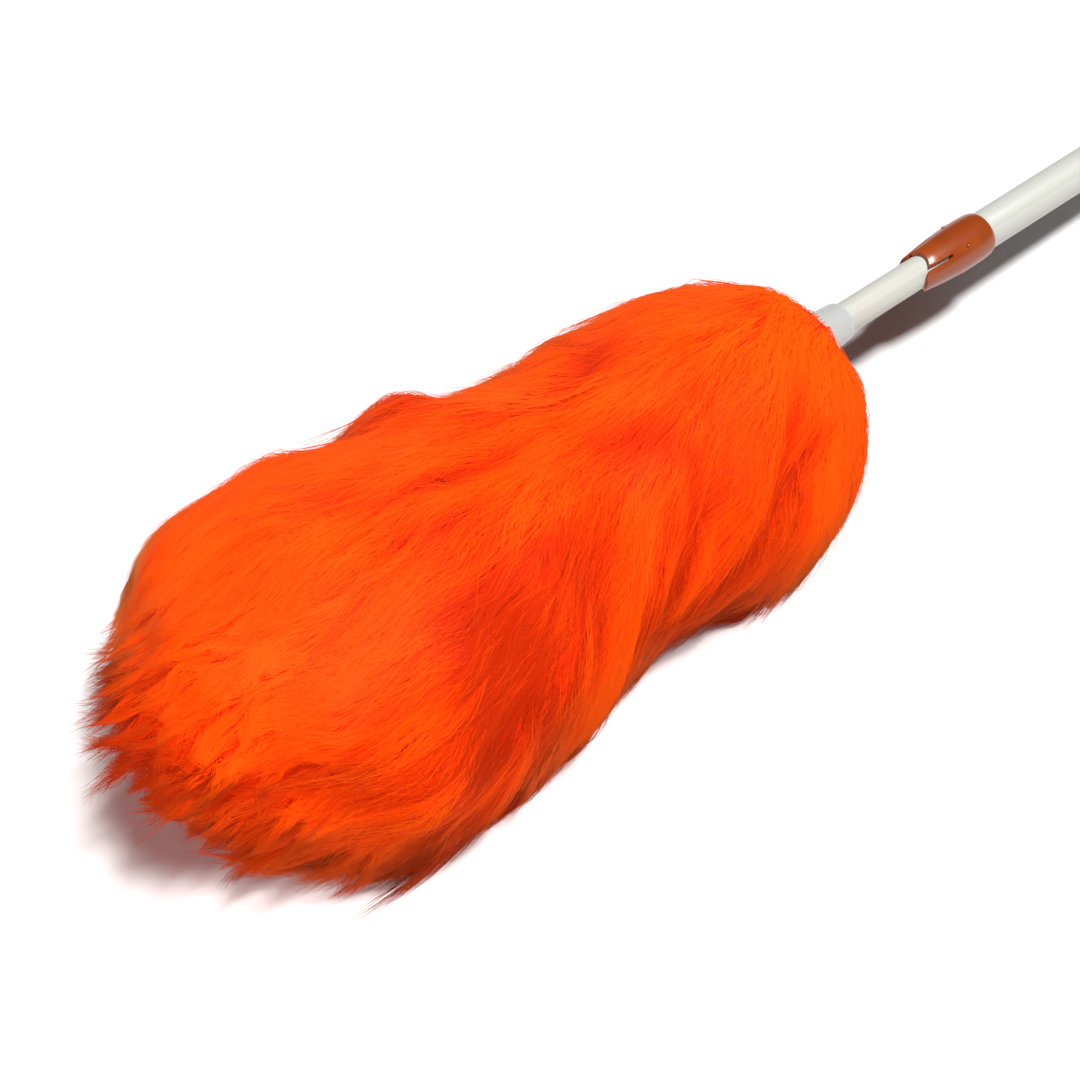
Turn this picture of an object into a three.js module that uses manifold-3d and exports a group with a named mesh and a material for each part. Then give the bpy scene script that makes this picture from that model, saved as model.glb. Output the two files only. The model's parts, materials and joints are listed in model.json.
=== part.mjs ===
// Telescopic lambswool duster, lying on the floor with its pole nearly closed.
//
// Millimetres, +Z up. The floor is z = 0 and the origin is at the middle of the footprint.
// Every piece is drawn in the pole's own frame: x runs along the pole from the wool tip to
// the hand grip, with x = 0 at the rim of the head socket, and the pole's axis is y = z = 0.
// The whole pole then leans down to the grip, which touches the floor beside the wool.

import * as THREE from 'three';
import { mergeVertices } from 'three/addons/utils/BufferGeometryUtils.js';
import Module from 'manifold-3d';

const wasm = await Module();
wasm.setup();

// Driving dimensions

const SEAT_GAP = 0.3;        // between pieces that are pressed, glued or seated together
const PIN_GAP = 0.2;         // round a pin in its hole
const ROUND = 36;            // sides of a turned piece
const SMALL_ROUND = 12;      // sides of a pin or tack
const LEAN = THREE.MathUtils.degToRad(4.1);

const OUTER_TUBE = { radius: 9.5, wall: 1.4, back: 516 };
const INNER_TUBE = { radius: 7.5, wall: 1.2, back: 378 };
const OUTER_BORE = OUTER_TUBE.radius - OUTER_TUBE.wall;
const INNER_BORE = INNER_TUBE.radius - INNER_TUBE.wall;

const COLLAR = {
  mouth: 49,                 // length of inner tube that shows between socket and collar
  length: 46,
  mouthRadius: 9.1,
  bodyRadius: 11.6,
  throat: 7.8,               // the lip that guides the inner tube
  relief: 9.1,               // behind the lip, where the fingers are thin enough to spring
  shoulder: 20,              // from the mouth to the stop for the outer tube
  slits: 4,
  slitWidth: 1.7,
  slitLength: 18,
  scallopRadius: 8.6,        // round bite out of the mouth, above and below
  scallopDepth: 5.5,
  pinFromMouth: 28,
  pinRadius: 1.1,
};

const SOCKET = { rimRadius: 9.1, bodyRadius: 11, tubeDepth: 22, web: 4, coreDepth: 26 };
const CORE = { radius: 6, back: 376 };
const HIDE = { thickness: 1.6, width: 33, pitch: 38, start: 58, turns: 7.4 };
const TACK = { headRadius: 2.6, headHeight: 0.8, shankRadius: 0.8, length: 5.2 };

const FLEECE = {
  root: 11,                  // where the wool starts, behind the socket rim
  rootRadius: 11.6,
  sag: 0.24,                 // share by which the wool hangs lower than it stands up
  locksRound: 12,            // locks of wool side by side round the head
  lockRows: 7,               // rows of locks, each falling over the next one towards the tip
  lockRise: 5,               // how far a lock's end stands over the roots of the next row
  tuftRise: 13,              // the same at the blunt tip, where the last row ends in loose tufts
  lockFall: 0.9,             // turn by which the rows fall down each side towards the tip
  boreGap: 1.9,              // room over the hide strip for the tack heads
  rings: 28,
};

const LOCK = {
  plugLength: 24,
  flange: 3,
  journalRadius: 4,
  throw: 0.2,                // the journal's centre stands this far off the pole's axis
  ringLength: 11,
  ringRadius: 7.9,
  ringSlit: 2,
  washerRadius: 5.6,
  washerThickness: 0.8,
  screwRadius: 1.3,
  screwHead: 3,
};

const GRIP = { front: 410, radius: 12.2, swell: 0.9, ridges: 6, ridgeHeight: 0.8, tail: 14 };
const CAP = { plugLength: 24, flangeRadius: 13.6, flange: 6, tabLength: 17, tabHalfWidth: 9, tabThickness: 7 };
const HANG_HOLE = { radius: 4.5, fromFlange: 9 };

// Materials

const plastic = (color, roughness) => new THREE.MeshStandardMaterial({ color, roughness, metalness: 0 });
const ivory = plastic(0xe9e8da, 0.3);
const terracotta = plastic(0xb0460f, 0.42);
const milky = plastic(0xe6eae6, 0.35);
const black = plastic(0x2b2a29, 0.5);
const wool = plastic(0xff5203, 0.95);
const hide = plastic(0xd9c39a, 0.85);
const dowel = plastic(0xcfa872, 0.7);
const steel = new THREE.MeshStandardMaterial({ color: 0xb9babc, roughness: 0.35, metalness: 1 });

// Shape tools

// Spins a closed outline of [along, radius] points about the pole's axis. The outer side runs
// towards +x, so that the faces point out.
function turned(outline, sides = ROUND) {
  const profile = outline.map(([along, radius]) => new THREE.Vector2(radius, along));
  return new THREE.LatheGeometry(profile, sides).rotateZ(-Math.PI / 2);
}

// A tube with square ends.
function tube(front, back, bore, radius) {
  return turned([[front, bore], [front, radius], [back, radius], [back, bore], [front, bore]]);
}

// A rod along the pole's axis with square ends.
function rod(front, back, radius, sides = ROUND) {
  return turned([[front, 0], [front, radius], [back, radius], [back, 0]], sides);
}

// Points along a path drawn as (along, radius), as [along, radius] pairs.
function outlineOf(draw, steps = 4) {
  const path = new THREE.Path();
  draw(path);
  return path.getPoints(steps).map((point) => [point.x, point.y]);
}

// A turned piece moved so that its own axis stands out from the pole at a distance along it.
// Its x becomes the distance from the pole's axis. The turn is measured up from the near side.
function radial(geometry, along, turn) {
  return geometry
    .rotateZ(Math.PI / 2)
    .rotateX(Math.PI + turn)
    .translate(along, 0, 0);
}

function solid(geometry) {
  const bare = geometry.clone();
  bare.deleteAttribute('normal');
  bare.deleteAttribute('uv');
  const merged = mergeVertices(bare, 1e-4);
  const triVerts = new Uint32Array(merged.index.array);
  const vertProperties = merged.attributes.position.array;
  return new wasm.Manifold(new wasm.Mesh({ numProp: 3, vertProperties, triVerts }));
}

function geometryOf(manifold) {
  const { vertProperties, triVerts } = manifold.getMesh();
  const geometry = new THREE.BufferGeometry();
  geometry.setAttribute('position', new THREE.BufferAttribute(vertProperties, 3));
  geometry.setIndex(new THREE.BufferAttribute(triVerts, 1));
  geometry.computeVertexNormals();
  return geometry;
}

function cut(geometry, ...tools) {
  return geometryOf(tools.reduce((body, tool) => body.subtract(solid(tool)), solid(geometry)));
}

function joined(...geometries) {
  return geometryOf(geometries.map(solid).reduce((body, other) => body.add(other)));
}

// Skins a row of rings, each with the same number of points, and closes both ends.
function loft(rings) {
  const sides = rings[0].length;
  const centre = (ring) => ring.reduce((sum, p) => sum.add(p), new THREE.Vector3()).divideScalar(sides);
  const points = [...rings.flat(), centre(rings[0]), centre(rings.at(-1))];
  const faces = [];
  const last = (rings.length - 1) * sides;
  for (let side = 0; side < sides; side += 1) {
    const next = (side + 1) % sides;
    for (let base = 0; base < last; base += sides) {
      faces.push(base + side, base + next, base + sides + side);
      faces.push(base + next, base + sides + next, base + sides + side);
    }
    faces.push(points.length - 2, next, side);
    faces.push(points.length - 1, last + side, last + next);
  }
  const geometry = new THREE.BufferGeometry().setFromPoints(points);
  geometry.setIndex(faces);
  geometry.computeVertexNormals();
  return geometry;
}

const duster = new THREE.Group();

function piece(name, geometry, material, parent) {
  const mesh = new THREE.Mesh(geometry, material);
  mesh.name = name;
  parent.add(mesh);
}

// Pins are driven in from outside. Their holes are the same rod with room round it.
function pin(inner, outer, radius, along, turn) {
  return radial(rod(inner, outer, radius, SMALL_ROUND), along, turn);
}

const UP = Math.PI / 2;

// Outer pole: tube, split collar, hand grip and end cap

const outerPole = new THREE.Group();
duster.add(outerPole);

const collarEnd = COLLAR.mouth + COLLAR.length;
const collarStop = COLLAR.mouth + COLLAR.shoulder;
const collarBore = OUTER_TUBE.radius + SEAT_GAP;
const collarPinAt = COLLAR.mouth + COLLAR.pinFromMouth;
const capPinAt = OUTER_TUBE.back - 12;
const eighth = Math.PI / 4;
const slitTurns = Array.from({ length: COLLAR.slits }, (_, i) => eighth + (i * 2 * Math.PI) / COLLAR.slits);

function outerTube() {
  const front = collarStop + SEAT_GAP;
  const holes = slitTurns.map((turn) => pin(0, 20, COLLAR.pinRadius + PIN_GAP, collarPinAt, turn));
  const capHole = pin(0, 20, COLLAR.pinRadius + PIN_GAP, capPinAt, UP);
  return cut(tube(front, OUTER_TUBE.back, OUTER_BORE, OUTER_TUBE.radius), ...holes, capHole);
}

// A slit with a round end, from the mouth back along the collar.
function collarSlit(turn) {
  const half = COLLAR.slitWidth / 2;
  const end = COLLAR.mouth + COLLAR.slitLength - half;
  const shape = new THREE.Shape();
  shape.moveTo(COLLAR.mouth - 5, -half);
  shape.lineTo(end, -half);
  shape.absarc(end, 0, half, -Math.PI / 2, Math.PI / 2);
  shape.lineTo(COLLAR.mouth - 5, half);
  const blade = new THREE.ExtrudeGeometry(shape, { depth: 20, bevelEnabled: false, curveSegments: 8 });
  return blade.rotateX(Math.PI / 2 + turn);
}

// The guide collar: a barrel that swells from a thin split mouth to a rounded rim on the tube.
// Its inner shoulder stops the outer tube on one side and the lock ring on the other.
function collar() {
  const { mouth, mouthRadius, bodyRadius, throat, relief } = COLLAR;
  const outline = outlineOf((path) => {
    path.moveTo(mouth, throat);
    path.lineTo(mouth, mouthRadius - 0.5);
    path.quadraticCurveTo(mouth, mouthRadius, mouth + 1, mouthRadius + 0.15);
    path.quadraticCurveTo(mouth + 20, bodyRadius, collarEnd - 13, bodyRadius);
    path.quadraticCurveTo(collarEnd - 3, bodyRadius, collarEnd - 1, bodyRadius - 0.7);
    path.quadraticCurveTo(collarEnd, bodyRadius - 1, collarEnd, collarBore);
    path.lineTo(collarStop, collarBore);
    path.lineTo(collarStop, throat);
    path.lineTo(collarStop - 3, throat);
    path.lineTo(collarStop - 5, relief);
    path.lineTo(mouth + 4, throat);
    path.lineTo(mouth, throat);
  });
  const bite = new THREE.CylinderGeometry(COLLAR.scallopRadius, COLLAR.scallopRadius, 40, 32)
    .rotateX(Math.PI / 2)
    .translate(mouth + COLLAR.scallopDepth - COLLAR.scallopRadius, 0, 0);
  const holes = slitTurns.map((turn) => pin(0, 20, COLLAR.pinRadius + PIN_GAP, collarPinAt, turn));
  return cut(turned(outline), bite, ...slitTurns.map(collarSlit), ...holes);
}

// A plastic drive pin with a low round head that stands proud of the collar.
function collarPin(turn) {
  const seat = OUTER_BORE + SEAT_GAP;
  const crown = COLLAR.bodyRadius + 0.5;
  const outline = outlineOf((path) => {
    path.moveTo(seat, 0);
    path.lineTo(seat, COLLAR.pinRadius);
    path.lineTo(crown - 0.7, COLLAR.pinRadius);
    path.quadraticCurveTo(crown, COLLAR.pinRadius, crown, 0);
  }, 4);
  return radial(turned(outline, SMALL_ROUND), collarPinAt, turn);
}

// A moulded sleeve that swells in the palm, with a row of low ridges and a plain tail.
function handGrip() {
  const { front, radius, swell, ridges, ridgeHeight, tail } = GRIP;
  const back = OUTER_TUBE.back;
  const bore = OUTER_TUBE.radius + SEAT_GAP;
  const ridged = back - tail - (front + tail);
  const stepsPerRidge = 4;
  const steps = ridges * stepsPerRidge;
  const outline = [[front, bore], [front, bore + 1], [front + 1.5, radius - 0.5], [front + 4, radius]];
  for (let step = 0; step <= steps; step += 1) {
    const share = step / steps;
    const ridge = (1 - Math.cos(share * ridges * 2 * Math.PI)) / 2;
    const palm = Math.sin(share * Math.PI);
    outline.push([front + tail + share * ridged, radius + swell * palm + ridgeHeight * ridge]);
  }
  outline.push([back - 1, radius + swell / 2], [back, radius], [back, bore], [front, bore]);
  return turned(outline);
}

// Outline of the end cap's flange, which touches the floor.
const capFront = OUTER_TUBE.back + SEAT_GAP;
const capBack = capFront + CAP.flange;
const capOutline = outlineOf((path) => {
  const plug = OUTER_BORE - SEAT_GAP;
  path.moveTo(capFront - CAP.plugLength, 0);
  path.lineTo(capFront - CAP.plugLength, plug - 1.2);
  path.lineTo(capFront - CAP.plugLength + 2, plug);
  path.lineTo(capFront, plug);
  path.lineTo(capFront, CAP.flangeRadius - 0.8);
  path.quadraticCurveTo(capFront, CAP.flangeRadius, capFront + 1.2, CAP.flangeRadius);
  path.lineTo(capBack - 3, CAP.flangeRadius);
  path.quadraticCurveTo(capBack, CAP.flangeRadius, capBack, CAP.flangeRadius - 3.4);
  path.lineTo(capBack, 0);
});

// Plug, flange and a flat tab with the hole that hangs the duster up.
function endCap() {
  const tip = capBack + CAP.tabLength - CAP.tabHalfWidth;
  const tab = new THREE.Shape();
  tab.moveTo(capBack - 2, -CAP.tabHalfWidth);
  tab.lineTo(tip, -CAP.tabHalfWidth);
  tab.absarc(tip, 0, CAP.tabHalfWidth, -Math.PI / 2, Math.PI / 2);
  tab.lineTo(capBack - 2, CAP.tabHalfWidth);
  const hole = new THREE.Path();
  hole.absarc(capBack + HANG_HOLE.fromFlange, 0, HANG_HOLE.radius, 0, 2 * Math.PI, true);
  tab.holes.push(hole);
  const plate = new THREE.ExtrudeGeometry(tab, {
    depth: CAP.tabThickness,
    bevelEnabled: false,
    curveSegments: 12,
  });
  plate.translate(0, 0, -CAP.tabThickness / 2).rotateX(Math.PI / 2);
  const pinHole = pin(OUTER_BORE - 5, 20, COLLAR.pinRadius + PIN_GAP, capPinAt, UP);
  return cut(joined(turned(capOutline), plate), pinHole);
}

piece('outer_tube', outerTube(), ivory, outerPole);
piece('guide_collar', collar(), terracotta, outerPole);
slitTurns.forEach((turn, i) => piece(`collar_pin_${i + 1}`, collarPin(turn), terracotta, outerPole));
piece('hand_grip', handGrip(), terracotta, outerPole);
piece('end_cap', endCap(), terracotta, outerPole);
const capPinInner = OUTER_BORE - 5 + SEAT_GAP;
piece('end_cap_pin', pin(capPinInner, OUTER_TUBE.radius - 0.2, COLLAR.pinRadius, capPinAt, UP), steel, outerPole);

// Inner pole: tube, lock plug and what holds the lock ring on it

const innerPole = new THREE.Group();
duster.add(innerPole);

const tubeFront = -SOCKET.tubeDepth + SEAT_GAP;
const tubePinAt = -15;
const plugPinAt = INNER_TUBE.back - 12;
const plugFace = INNER_TUBE.back + SEAT_GAP + LOCK.flange;
const ringFront = plugFace + SEAT_GAP;
const ringBack = ringFront + LOCK.ringLength;
const journalEnd = ringBack + SEAT_GAP;
const washerFront = journalEnd + SEAT_GAP;
const washerBack = washerFront + LOCK.washerThickness;
const screwTip = journalEnd - 9;
const PLUG_PIN_RADIUS = 1;
const offAxis = (geometry) => geometry.translate(0, 0, LOCK.throw);

function innerTube() {
  const plugHole = pin(0, 20, PLUG_PIN_RADIUS + PIN_GAP, plugPinAt, UP);
  const socketHole = pin(0, 20, PLUG_PIN_RADIUS + PIN_GAP, tubePinAt, UP);
  return cut(tube(tubeFront, INNER_TUBE.back, INNER_BORE, INNER_TUBE.radius), plugHole, socketHole);
}

// A plug in the tube's end that carries the lock ring on an off-centre journal.
function lockPlug() {
  const shank = INNER_BORE - SEAT_GAP;
  const flangeFront = INNER_TUBE.back + SEAT_GAP;
  const outline = [
    [INNER_TUBE.back - LOCK.plugLength, 0],
    [INNER_TUBE.back - LOCK.plugLength, shank - 1],
    [INNER_TUBE.back - LOCK.plugLength + 2, shank],
    [flangeFront, shank],
    [flangeFront, INNER_TUBE.radius],
    [plugFace, INNER_TUBE.radius],
    [plugFace, 0],
  ];
  const journal = offAxis(rod(plugFace - 1, journalEnd, LOCK.journalRadius));
  const pilot = offAxis(rod(screwTip - 1, journalEnd + 1, LOCK.screwRadius + PIN_GAP, SMALL_ROUND));
  const pinHole = pin(shank - 4, 20, PLUG_PIN_RADIUS + PIN_GAP, plugPinAt, UP);
  return cut(joined(turned(outline), journal), pilot, pinHole);
}

// The lock ring turns on the journal and drags on the outer tube. A twist of the pole pushes it
// off centre, and it jams. A slit through its thin side lets it spring.
function lockRing() {
  const bore = offAxis(rod(ringFront - 1, ringBack + 1, LOCK.journalRadius + SEAT_GAP));
  const slit = new THREE.BoxGeometry(LOCK.ringLength + 2, LOCK.ringSlit, LOCK.ringRadius)
    .translate((ringFront + ringBack) / 2, 0, LOCK.ringRadius / 2 + LOCK.journalRadius - 1);
  const edge = 0.8;
  const outline = [
    [ringFront, 0],
    [ringFront, LOCK.ringRadius - edge],
    [ringFront + edge, LOCK.ringRadius],
    [ringBack - edge, LOCK.ringRadius],
    [ringBack, LOCK.ringRadius - edge],
    [ringBack, 0],
  ];
  return cut(turned(outline), bore, slit);
}

// A pan-head screw with a slot.
function lockScrew() {
  const headFront = washerBack + SEAT_GAP;
  const headBack = headFront + 2.2;
  const outline = outlineOf((path) => {
    path.moveTo(screwTip, 0);
    path.lineTo(screwTip + 1.5, LOCK.screwRadius);
    path.lineTo(headFront, LOCK.screwRadius);
    path.lineTo(headFront, LOCK.screwHead);
    path.lineTo(headFront + 0.8, LOCK.screwHead);
    path.quadraticCurveTo(headBack, LOCK.screwHead - 0.4, headBack, 0);
  }, 4);
  const slot = new THREE.BoxGeometry(1.2, 8, 0.8).translate(headBack, 0, 0);
  return offAxis(cut(turned(outline, 24), slot));
}

const washer = tube(washerFront, washerBack, LOCK.screwRadius + PIN_GAP, LOCK.washerRadius);
const plugPinInner = INNER_BORE - SEAT_GAP - 4 + SEAT_GAP;

piece('inner_tube', innerTube(), ivory, innerPole);
piece('lock_plug', lockPlug(), black, innerPole);
piece('lock_plug_pin', pin(plugPinInner, INNER_TUBE.radius - 0.2, PLUG_PIN_RADIUS, plugPinAt, UP), steel, innerPole);
piece('lock_ring', lockRing(), black, innerPole);
piece('lock_washer', offAxis(washer), steel, innerPole);
piece('lock_screw', lockScrew(), steel, innerPole);

// Wool head: socket, wooden core, hide strip wound round it and the fleece that grows from the hide

const head = new THREE.Group();
duster.add(head);

const webFront = -SOCKET.tubeDepth - SOCKET.web;
const socketFront = webFront - SOCKET.coreDepth;
const coreBack = webFront - SEAT_GAP;
const corePinAt = webFront - 13;
const hideInner = CORE.radius + SEAT_GAP;
const hideOuter = hideInner + HIDE.thickness;
const tackHeadSeat = hideOuter + SEAT_GAP;
const stripLength = HIDE.turns * HIDE.pitch;
const patchFront = -CORE.back - SEAT_GAP - HIDE.thickness;

// Tacks go in where the strip starts and where it ends, a little in from its cut edges.
const tackTurns = [0.06, HIDE.turns - 0.06];
const tackPlaces = tackTurns.map((turns) => ({
  along: -HIDE.start - HIDE.width / 2 - turns * HIDE.pitch,
  turn: turns * 2 * Math.PI,
}));

// A milky cup for the tube on one side and the core on the other, flared into the wool.
function headSocket() {
  const { rimRadius, bodyRadius } = SOCKET;
  const tubeSeat = INNER_TUBE.radius + SEAT_GAP;
  const coreSeat = CORE.radius + SEAT_GAP;
  const outline = outlineOf((path) => {
    path.moveTo(webFront, 0);
    path.lineTo(webFront, coreSeat);
    path.lineTo(socketFront, coreSeat);
    path.lineTo(socketFront, bodyRadius - 2);
    path.lineTo(socketFront + 4, bodyRadius);
    path.lineTo(-18, bodyRadius);
    path.quadraticCurveTo(-9, rimRadius + 0.9, -2.5, rimRadius + 0.4);
    path.quadraticCurveTo(0, rimRadius + 0.3, 0, rimRadius - 0.6);
    path.lineTo(0, tubeSeat);
    path.lineTo(-SOCKET.tubeDepth, tubeSeat);
    path.lineTo(-SOCKET.tubeDepth, 0);
  });
  const tubeHole = pin(0, 20, PLUG_PIN_RADIUS + PIN_GAP, tubePinAt, UP);
  const coreHole = pin(0, 20, PLUG_PIN_RADIUS + PIN_GAP, corePinAt, UP);
  return cut(turned(outline), tubeHole, coreHole);
}

// A wooden dowel with a chamfered end.
function coreRod() {
  const outline = [
    [-CORE.back, 0],
    [-CORE.back, CORE.radius - 1],
    [-CORE.back + 1, CORE.radius],
    [coreBack, CORE.radius],
    [coreBack, 0],
  ];
  const pinHole = pin(1.5, 20, PLUG_PIN_RADIUS + PIN_GAP, corePinAt, UP);
  const tackHoles = tackPlaces.map(({ along, turn }) => pin(1.5, 20, TACK.shankRadius + PIN_GAP, along, turn));
  const endHole = rod(-CORE.back - 1, -CORE.back + 12, TACK.shankRadius + PIN_GAP, SMALL_ROUND);
  return cut(turned(outline), pinHole, ...tackHoles, endHole);
}

// The hide that the wool grows on: a flat strip wound round the core in an open helix.
function hideStrip() {
  const stepsPerTurn = 16;
  const steps = Math.round(HIDE.turns * stepsPerTurn);
  const rings = [];
  for (let step = 0; step <= steps; step += 1) {
    const turns = (step / steps) * HIDE.turns;
    const near = -HIDE.start - turns * HIDE.pitch;
    const far = near - HIDE.width;
    const angle = turns * 2 * Math.PI;
    const at = (along, radius) =>
      new THREE.Vector3(along, -radius * Math.cos(angle), radius * Math.sin(angle));
    rings.push([at(near, hideInner), at(far, hideInner), at(far, hideOuter), at(near, hideOuter)]);
  }
  const tackHoles = tackPlaces.map(({ along, turn }) => pin(1.5, 20, TACK.shankRadius + PIN_GAP, along, turn));
  return cut(loft(rings), ...tackHoles);
}

// A tack with a flat head and a sharp end, lying along x with the underside of its head at x = seat.
function tack(seat, length) {
  const outline = [
    [seat - length, 0],
    [seat - length + 1.5, TACK.shankRadius],
    [seat, TACK.shankRadius],
    [seat, TACK.headRadius],
    [seat + TACK.headHeight * 0.6, TACK.headRadius],
    [seat + TACK.headHeight, TACK.headRadius * 0.7],
    [seat + TACK.headHeight, 0],
  ];
  return turned(outline, SMALL_ROUND);
}

// A disc of hide that covers the end of the core.
function tipPatch() {
  const back = -CORE.back - SEAT_GAP;
  const outline = [
    [patchFront, TACK.shankRadius + PIN_GAP],
    [patchFront, hideOuter - 1],
    [patchFront + 0.6, hideOuter],
    [back, hideOuter],
    [back, TACK.shankRadius + PIN_GAP],
    [patchFront, TACK.shankRadius + PIN_GAP],
  ];
  return turned(outline, 24);
}

// Height of the pole's axis over the floor where x = 0, so that the end cap rests on the floor.
const lean = { sin: Math.sin(LEAN), cos: Math.cos(LEAN) };
const axisHeight = Math.max(...capOutline.map(([along, radius]) => along * lean.sin + radius * lean.cos));
const floorUnder = (along) => (along * lean.sin - axisHeight) / lean.cos;

// Mean radius of the wool against the distance from the socket rim: a full shoulder, a shallow
// waist and a broad, blunt tip.
const fleeceProfile = new THREE.SplineCurve([
  new THREE.Vector2(-FLEECE.root, FLEECE.rootRadius),
  new THREE.Vector2(-14, 34),
  new THREE.Vector2(-41, 58),
  new THREE.Vector2(-88, 71),
  new THREE.Vector2(-132, 75),
  new THREE.Vector2(-175, 71),
  new THREE.Vector2(-225, 81),
  new THREE.Vector2(-280, 88),
  new THREE.Vector2(-330, 84),
  new THREE.Vector2(-367, 67),
  new THREE.Vector2(-391, 40),
  new THREE.Vector2(-399, 8),
]);

// Height of the locks over the mean form, at a share of the way from root to tip. A lock swells
// along its length and ends in a step, and the locks of the next row lie between those of this one.
function lockHeight(share, turn) {
  const fall = FLEECE.lockFall * share * Math.cos(turn);
  const column = (FLEECE.locksRound * (turn + fall)) / (2 * Math.PI);
  const nearest = Math.round(column);
  const across = Math.cos(Math.PI * (column - nearest));
  const row = FLEECE.lockRows * share + (nearest % 2 === 0 ? 0 : 0.5);
  const along = row - Math.floor(row);
  const swell = THREE.MathUtils.smoothstep(along, 0, 0.8) * (1 - THREE.MathUtils.smoothstep(along, 0.86, 1));
  const rise = THREE.MathUtils.lerp(FLEECE.lockRise, FLEECE.tuftRise, THREE.MathUtils.smoothstep(share, 0.7, 0.9));
  return rise * (swell * across - 0.4);
}

// One ring of the fleece. It hangs lower than it stands up, and it lies flat on the floor.
function fleeceRing(along, radius, share = 0, outward = new THREE.Vector2(0, 1)) {
  const ring = [];
  const fullness = THREE.MathUtils.smoothstep(radius, FLEECE.rootRadius, 40);
  for (let side = 0; side < ROUND; side += 1) {
    const turn = (2 * Math.PI * side) / ROUND;
    const hang = 1 - fullness * FLEECE.sag * Math.sin(turn);
    const lock = fullness * lockHeight(share, turn);
    const reach = radius * hang + outward.y * lock;
    const place = along + outward.x * lock;
    const height = Math.max(reach * Math.sin(turn), floorUnder(place));
    ring.push(new THREE.Vector3(place, -reach * Math.cos(turn), height));
  }
  return ring;
}

// The fleece has a blind bore for the core, stepped out over the socket.
function fleece() {
  const bore = hideOuter + FLEECE.boreGap;
  const socketBore = FLEECE.rootRadius;
  const boreRings = [
    [patchFront - 3, bore],
    [socketFront - 3, bore],
    [socketFront - 2, socketBore],
  ].map(([along, radius]) => fleeceRing(along, radius));
  const skinRings = Array.from({ length: FLEECE.rings + 1 }, (_, i) => {
    const share = i / FLEECE.rings;
    const { x, y } = fleeceProfile.getPointAt(share);
    const heading = fleeceProfile.getTangentAt(share);
    return fleeceRing(x, y, share, new THREE.Vector2(heading.y, -heading.x));
  });
  return loft([...boreRings, ...skinRings]);
}

piece('head_socket', headSocket(), milky, head);
piece('socket_tube_pin', pin(INNER_BORE + 0.2, 10.4, PLUG_PIN_RADIUS, tubePinAt, UP), steel, head);
piece('socket_core_pin', pin(2, SOCKET.bodyRadius - 0.3, PLUG_PIN_RADIUS, corePinAt, UP), steel, head);
piece('core_rod', coreRod(), dowel, head);
piece('hide_strip', hideStrip(), hide, head);
tackPlaces.forEach(({ along, turn }, i) =>
  piece(`strip_tack_${i + 1}`, radial(tack(tackHeadSeat, TACK.length), along, turn), steel, head));
piece('tip_patch', tipPatch(), hide, head);
const tipTackSeat = -patchFront + SEAT_GAP;
piece('tip_tack', tack(tipTackSeat, 11).rotateZ(Math.PI), steel, head);
piece('wool_fleece', fleece(), wool, head);

// Lean the pole down to the floor and centre the footprint on the origin.

duster.rotation.y = LEAN;
duster.position.z = axisHeight;
const part = new THREE.Group();
part.add(duster);
const footprint = new THREE.Box3().setFromObject(part, true);
duster.position.x = -(footprint.min.x + footprint.max.x) / 2;

export default part;
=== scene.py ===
import json
import math

import bmesh
import bpy
from bpy.props import FloatProperty, FloatVectorProperty, IntProperty, PointerProperty
from bpy.types import NodeSocket, Operator, Panel, PropertyGroup
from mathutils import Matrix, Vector, noise
from mathutils.bvhtree import BVHTree


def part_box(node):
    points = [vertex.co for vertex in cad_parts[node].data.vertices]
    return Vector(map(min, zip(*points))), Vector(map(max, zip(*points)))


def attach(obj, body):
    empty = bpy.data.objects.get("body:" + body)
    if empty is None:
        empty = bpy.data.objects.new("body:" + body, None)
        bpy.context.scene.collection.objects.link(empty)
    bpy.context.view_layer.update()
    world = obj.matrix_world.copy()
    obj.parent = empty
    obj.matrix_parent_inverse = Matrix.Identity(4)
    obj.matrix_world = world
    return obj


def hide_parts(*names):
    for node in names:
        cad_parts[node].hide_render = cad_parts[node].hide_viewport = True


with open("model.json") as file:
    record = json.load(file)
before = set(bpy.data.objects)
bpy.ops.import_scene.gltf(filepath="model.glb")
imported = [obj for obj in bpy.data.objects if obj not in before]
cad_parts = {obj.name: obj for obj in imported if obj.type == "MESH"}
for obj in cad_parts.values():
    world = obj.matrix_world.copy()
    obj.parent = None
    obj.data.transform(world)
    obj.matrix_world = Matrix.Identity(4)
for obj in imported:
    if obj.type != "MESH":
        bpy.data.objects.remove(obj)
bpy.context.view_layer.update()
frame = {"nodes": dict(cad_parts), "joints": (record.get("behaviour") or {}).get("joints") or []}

bl_info = {
    "name": "Telescopic Lambswool Duster",
    "version": (1, 0, 0),
    "blender": (4, 5, 0),
    "location": "View3D > Sidebar > Duster",
    "description": "Grows the wool and finishes the pole of a telescopic duster",
    "category": "Add Mesh",
}

HEAD = "inner_pole"
HANDLE = "outer_pole"
LOCK = "lock_slider"

# The pole's own frame: stations run along the pole, in metres from the rim of the head socket.

JOINTS = {joint["name"]: joint for joint in frame["joints"]}
ALONG = -Vector(JOINTS["pole_extend"]["axis"]).normalized()
SIDE = Vector((0, 1, 0))
UPRIGHT = ALONG.cross(SIDE).normalized()


def corners(node):
    """Every vertex of a node, in the frame's metres."""
    return [vertex.co.copy() for vertex in frame["nodes"][node].data.vertices]


PIVOT = Vector(JOINTS["lock_twist"]["pos_m"])
RIM = PIVOT + ALONG * max((point - PIVOT).dot(ALONG) for point in corners("head_socket"))


def pole_point(station):
    return RIM + ALONG * station


def station_of(point):
    return (point - RIM).dot(ALONG)


WOOL_TIP = min(station_of(point) for point in corners("wool_fleece"))
WOOL_ROOT = max(station_of(point) for point in corners("wool_fleece"))


# Settings

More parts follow.
